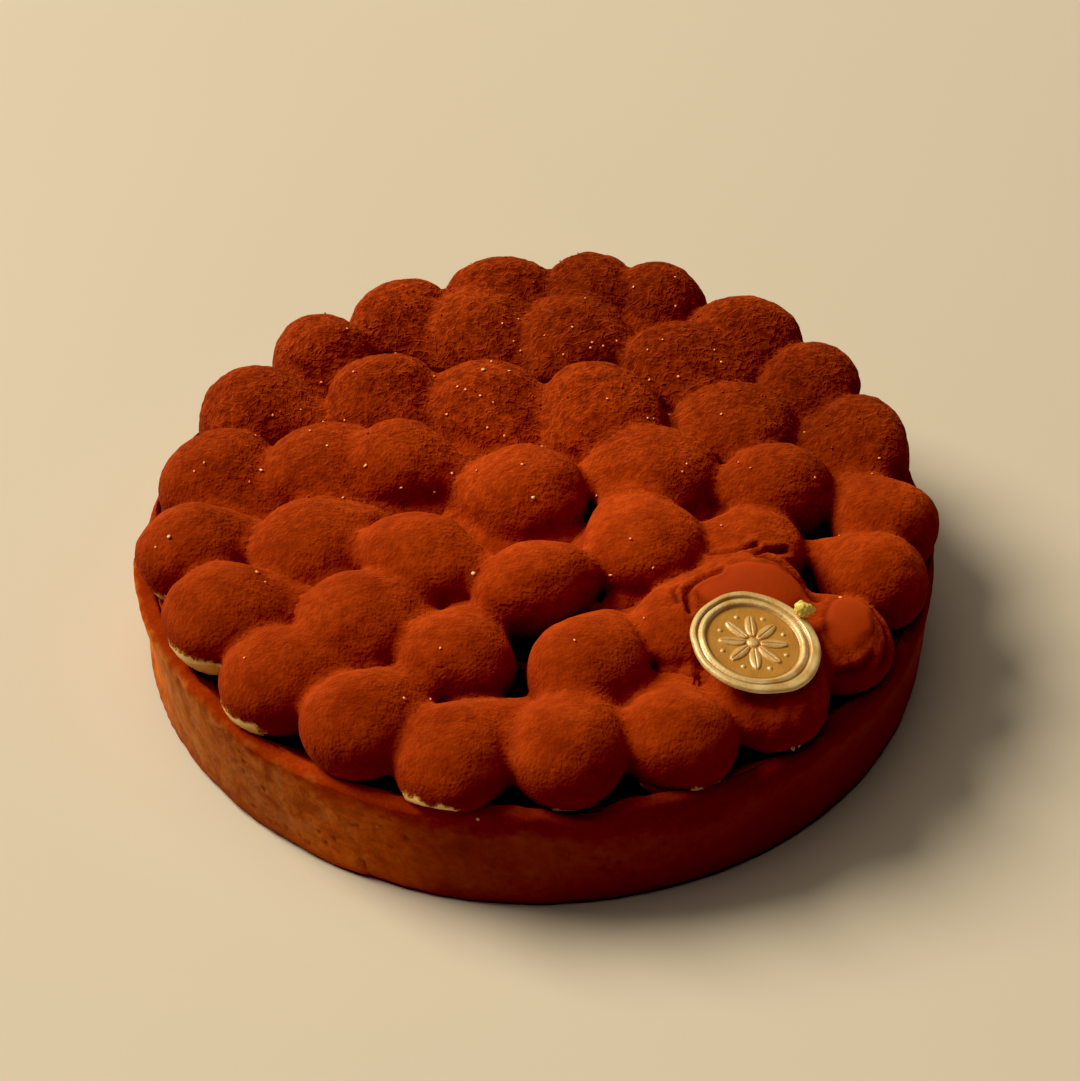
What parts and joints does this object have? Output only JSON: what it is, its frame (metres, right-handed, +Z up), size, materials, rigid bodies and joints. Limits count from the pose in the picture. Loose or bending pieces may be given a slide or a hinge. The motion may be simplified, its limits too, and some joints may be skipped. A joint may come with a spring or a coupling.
{
  "type": "chocolate tart",
  "caption": "Whole round chocolate tart: straight-sided shortcrust shell topped with cocoa-dusted piped cream drops in rings, and a round gold seal.",
  "frame": {"origin": "centre of the flat underside of the crust", "axes": "+Z up out of the cream drops; +X to the right and +Y away from the side that faces the viewer, with the seal at the front right"},
  "size_m": [0.22, 0.22, 0.059],
  "materials": {
    "crust": "baked shortcrust, matt, mottled brown, dusted with cocoa at the rim",
    "filling": "dark chocolate bed, satin",
    "cream": "piped cream under a dry layer of cocoa powder, fully matt",
    "seal": "pale gold lustre, satin",
    "gold_leaf": "crumpled gold leaf"
  },
  "bodies": {
    "root": {"crust": "crust", "dome_centre": "cream", "dome_outer_01": "cream", "dome_outer_02": "cream", "dome_outer_03": "cream", "dome_outer_04": "cream", "dome_outer_05": "cream", "dome_outer_06": "cream", "dome_outer_07": "cream", "dome_outer_08": "cream", "dome_outer_09": "cream", "dome_outer_10": "cream", "dome_outer_11": "cream", "dome_outer_12": "cream", "dome_outer_13": "cream", "dome_outer_14": "cream", "dome_outer_15": "cream", "dome_outer_16": "cream", "dome_outer_17": "cream", "dome_outer_18": "cream", "dome_outer_19": "cream", "dome_outer_20": "cream", "dome_outer_21": "cream", "dome_second_01": "cream", "dome_second_02": "cream", "dome_second_03": "cream", "dome_second_04": "cream", "dome_second_05": "cream", "dome_second_06": "cream", "dome_second_07": "cream", "dome_second_08": "cream", "dome_second_09": "cream", "dome_second_10": "cream", "dome_second_11": "cream", "dome_second_12": "cream", "dome_second_13": "cream", "dome_second_14": "cream", "dome_third_01": "cream", "dome_third_02": "cream", "dome_third_03": "cream", "dome_third_04": "cream", "dome_third_05": "cream", "dome_third_06": "cream", "dome_third_07": "cream", "filling": "filling", "gold_nugget": "gold_leaf", "seal": "seal"}
  },
  "joints": []
}
